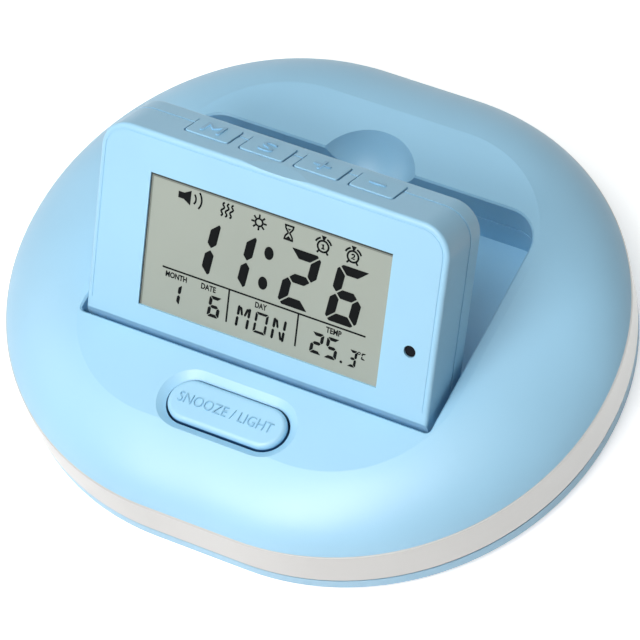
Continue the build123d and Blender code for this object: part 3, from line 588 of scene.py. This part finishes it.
# Sun
SUN = (-2.5, 32.05)
SUN_RADIUS = 0.75
SUN_RAYS = 8
RAY_NEAR = 0.95
RAY_FAR = 1.6
ring(sign_bm, *SUN, SUN_RADIUS, SIGN_STROKE)
for i in range(SUN_RAYS):
    spoke(sign_bm, *SUN, 2 * math.pi * i / SUN_RAYS, RAY_NEAR, RAY_FAR, SIGN_STROKE)

# Hourglass: one quarter of its outline, and the sand above and below, from its middle
GLASS_X = 3.72
GLASS_Y = 32.02
GLASS_STROKE = 0.34
CAP_HALF = 1.0
CAP_Y = 1.4
BULB = ((0.78, 1.3), (0.76, 0.9), (0.5, 0.45), (0.2, 0.1), (0.17, 0.0))
SAND_TOP = ((0.0, 0.4), (0.42, 0.8), (-0.42, 0.8))
SAND_LOW = ((-0.6, -1.25), (0.6, -1.25), (0.0, -0.65))
for end in (-1, 1):
    cap_y = GLASS_Y + CAP_Y * end
    band(sign_bm, [(GLASS_X - CAP_HALF, cap_y), (GLASS_X + CAP_HALF, cap_y)], SIGN_STROKE)
    for side in (-1, 1):
        band(sign_bm, [(GLASS_X + side * x, GLASS_Y + end * y) for x, y in BULB], GLASS_STROKE)
for sand in (SAND_TOP, SAND_LOW):
    prism(sign_bm, [(GLASS_X + x, GLASS_Y + y) for x, y in sand])

# Two alarm clocks, each with its number; places from the middle of the dial
BELL_XS = (10.8, 16.93)
BELL_Y = 31.62
BELL_STROKE = 0.38
DIAL_RADIUS = 1.12
BELL_RADIUS = 1.72
BELL_STARTS = (22, 112)
BELL_SPAN = 46
BELL_STEPS = 8
KNOB = ((-0.18, 1.3), (0.18, 1.3), (0.52, 2.1), (-0.52, 2.1))
LEG_ANGLES = (232, 308)
LEG_NEAR = 1.2
LEG_FAR = 1.85
ONE_POST = ((-0.28, 0.2), (0.02, 0.42), (0.02, -0.45))
ONE_FOOT = ((-0.3, -0.45), (0.34, -0.45))
TWO = (*arc(0, 0.2, 0.28, 170, -40, BELL_STEPS), (-0.3, -0.42), (0.4, -0.42))
NUMBERS = (((ONE_POST, 0.32), (ONE_FOOT, 0.26)), ((TWO, 0.28),))
for mid_x, number in zip(BELL_XS, NUMBERS):
    ring(sign_bm, mid_x, BELL_Y, DIAL_RADIUS, BELL_STROKE)
    for start in BELL_STARTS:
        bell = arc(mid_x, BELL_Y, BELL_RADIUS, start, start + BELL_SPAN, BELL_STEPS)
        band(sign_bm, bell, BELL_STROKE)
    prism(sign_bm, [(mid_x + x, BELL_Y + y) for x, y in KNOB])
    for angle in LEG_ANGLES:
        spoke(sign_bm, mid_x, BELL_Y, math.radians(angle), LEG_NEAR, LEG_FAR, BELL_STROKE)
    for points, stroke in number:
        band(sign_bm, [(mid_x + x, BELL_Y + y) for x, y in points], stroke)
finish_piece(sign_bm, "display_signs", DISPLAY_FRAME, ink_mat, "head")

# Raised lettering on the snooze pill and the four keys
RELIEF = 0.26
SNOOZE_WORDS_W = 19.7
SNOOZE_WORDS_H = 2.05
SNOOZE_WORDS_AT = (-0.2, 0.0)
SNOOZE_WEIGHT = -0.012
KEY_SIGN_AT = (-0.25, 0.3)
# Key, sign, its width and its height, from left to right
KEY_SIGNS = (
    ("mode_key", "M", 3.9, 3.5),
    ("set_key", "S", 2.9, 3.5),
    ("plus_key", "+", 3.4, 3.4),
    ("minus_key", "-", 3.3, 0.6),
)
snooze_bm = lettering(
    "SNOOZE / LIGHT", SNOOZE_WORDS_W, SNOOZE_WORDS_H, SNOOZE_WORDS_AT, RELIEF, SNOOZE_WEIGHT,
)
finish_piece(snooze_bm, "snooze_lettering", SNOOZE_FRAME, snooze_words_shade_mat, "snooze")
for i, (key, sign, width, height) in enumerate(KEY_SIGNS):
    key_x = (i - (len(KEY_SIGNS) - 1) / 2) * KEY_PITCH
    key_bm = lettering(sign, width, height, (key_x + KEY_SIGN_AT[0], KEY_SIGN_AT[1]), RELIEF)
    finish_piece(key_bm, key + "_sign", KEY_FRAME, key_sign_shade_mat, key + "_body")

# Camera at the photograph's angle
CAM_LENS = 236.496
CAM_SENSOR = 36.0
CAM_CLIP = 10.0
CAM_AT = Vector((299.861, -314.080, 672.314)) * MM
CAM_RIGHT = Vector((0.87406375, 0.45070265, -0.18132755))
CAM_UP = Vector((-0.30601762, 0.80068137, 0.51503647))
CAM_BACK = Vector((0.37731389, -0.39468528, 0.83776951))
cam_data = bpy.data.cameras.new("camera")
cam_data.lens = CAM_LENS
cam_data.sensor_width = CAM_SENSOR
cam_data.clip_end = CAM_CLIP
cam = bpy.data.objects.new("camera", cam_data)
bpy.context.scene.collection.objects.link(cam)
cam.matrix_world = axes(CAM_RIGHT, CAM_UP, CAM_BACK, CAM_AT)
bpy.context.scene.camera = cam

# Floor, world and lamps, in metres and watts

WHITE = (1, 1, 1, 1)
FLOOR_HALF = 4.0
FLOOR_COLOR = (0.8, 0.8, 0.8, 1)
FLOOR_NEAR = 0.15
FLOOR_FAR = 0.6
FLOOR_GLOW_NEAR = 0.6
FLOOR_GLOW_FAR = 1.0
WORLD = 0.03


def two(nodes, links, operation, first, second):
    """Math of two values."""
    node = nodes.new("ShaderNodeMath")
    node.operation = operation
    links.new(first, node.inputs[0])
    links.new(second, node.inputs[1])
    return node.outputs[0]


def backdrop_rays(nodes, links):
    """One for rays that see the backdrop directly, in gloss or through glass, else zero."""
    path = nodes.new("ShaderNodeLightPath").outputs
    seen = two(nodes, links, "MAXIMUM", path["Is Camera Ray"], path["Is Glossy Ray"])
    return two(nodes, links, "MAXIMUM", seen, path["Is Transmission Ray"])


floor_mat = bpy.data.materials.new("floor_white")
floor_mat.use_nodes = True
nodes, links = floor_mat.node_tree.nodes, floor_mat.node_tree.links
nodes.clear()
floor_out = nodes.new("ShaderNodeOutputMaterial")
diffuse = nodes.new("ShaderNodeBsdfDiffuse")
diffuse.inputs["Color"].default_value = FLOOR_COLOR
glow = nodes.new("ShaderNodeEmission")
glow.inputs["Color"].default_value = WHITE
away = nodes.new("ShaderNodeVectorMath")
away.operation = "LENGTH"
links.new(nodes.new("ShaderNodeTexCoord").outputs["Object"], away.inputs[0])
level = nodes.new("ShaderNodeMapRange")
level.inputs["From Min"].default_value = FLOOR_NEAR
level.inputs["From Max"].default_value = FLOOR_FAR
level.inputs["To Min"].default_value = FLOOR_GLOW_NEAR
level.inputs["To Max"].default_value = FLOOR_GLOW_FAR
links.new(away.outputs["Value"], level.inputs[0])
strength = two(nodes, links, "MULTIPLY", backdrop_rays(nodes, links), level.outputs[0])
links.new(strength, glow.inputs["Strength"])
both = nodes.new("ShaderNodeAddShader")
links.new(diffuse.outputs[0], both.inputs[0])
links.new(glow.outputs[0], both.inputs[1])
links.new(both.outputs[0], floor_out.inputs[0])

floor_mesh = bpy.data.meshes.new("floor")
floor_corners = [(x * FLOOR_HALF, y * FLOOR_HALF, 0) for x, y in ((-1, -1), (1, -1), (1, 1), (-1, 1))]
floor_mesh.from_pydata(floor_corners, [], [(0, 1, 2, 3)])
floor_mesh.materials.append(floor_mat)
floor = bpy.data.objects.new("floor", floor_mesh)
bpy.context.scene.collection.objects.link(floor)

world = bpy.data.worlds.new("studio")
bpy.context.scene.world = world
world.use_nodes = True
nodes, links = world.node_tree.nodes, world.node_tree.links
nodes.clear()
world_out = nodes.new("ShaderNodeOutputWorld")
sky = nodes.new("ShaderNodeBackground")
sky.inputs["Color"].default_value = WHITE
level = nodes.new("ShaderNodeMath")
level.operation = "MAXIMUM"
level.inputs[1].default_value = WORLD
links.new(backdrop_rays(nodes, links), level.inputs[0])
links.new(level.outputs[0], sky.inputs["Strength"])
links.new(sky.outputs[0], world_out.inputs[0])

WARM = (1.0, 0.92, 0.92)
COOL = (0.80, 0.97, 1.0)
LAMP_AIM = Vector((0, 0, 0.02))
# Name, place, side of the square, power and colour
LAMPS = (
    ("near", (-0.04, -0.26, 0.26), 0.20, 0.63, WARM),
    ("front", (0.0, -0.25, 0.60), 0.40, 1.75, WARM),
    ("top", (-0.05, -0.05, 0.72), 0.50, 1.55, COOL),
    ("left", (-0.60, -0.05, 0.35), 0.40, 0.50, WARM),
    ("back", (0.10, 0.60, 0.45), 0.40, 0.08, COOL),
)
for name, at, size, power, color in LAMPS:
    data = bpy.data.lights.new(name, "AREA")
    data.shape = "SQUARE"
    data.size = size
    data.energy = power
    data.color = color
    lamp = bpy.data.objects.new(name, data)
    lamp.location = at
    lamp.rotation_euler = (LAMP_AIM - Vector(at)).to_track_quat("-Z", "Y").to_euler()
    bpy.context.scene.collection.objects.link(lamp)

bpy.context.scene.view_settings.view_transform = "Standard"
